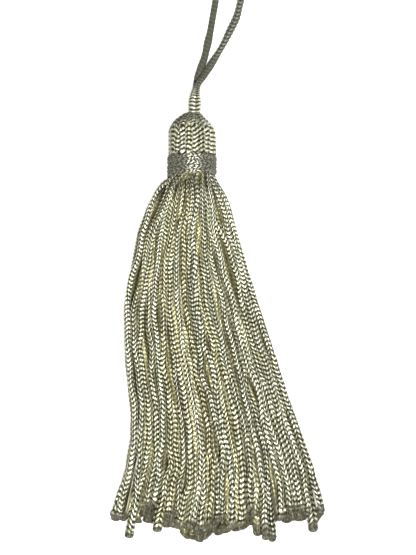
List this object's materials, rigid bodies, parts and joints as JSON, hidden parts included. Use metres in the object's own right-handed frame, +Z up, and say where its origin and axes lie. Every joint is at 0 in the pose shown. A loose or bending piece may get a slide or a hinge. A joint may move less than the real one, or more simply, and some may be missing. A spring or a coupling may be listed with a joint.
{
  "type": "tassel",
  "caption": "Chainette tassel with a domed head, a wound neck binding, a fanned skirt of cut cords and a hanging loop, lying flat.",
  "frame": {"origin": "centre of the footprint of the head and skirt, on the surface that the tassel lies on", "axes": "+Y along the tassel towards its head and loop, +Z up out of the surface, +X to the right seen from above with the head at the top"},
  "size_m": [0.0536, 0.1501, 0.0124],
  "materials": {
    "chainette": "glossy rayon chainette cord, pale sage ivory with darker olive between the stitches",
    "binding": "the same cord wound tight, duller and greyer at its sides",
    "loop_cord": "the same chainette cord, greyer olive"
  },
  "bodies": {
    "root": {"head": "chainette", "neck_binding": "binding", "skirt": "chainette", "hanging_loop": "loop_cord"}
  },
  "joints": []
}
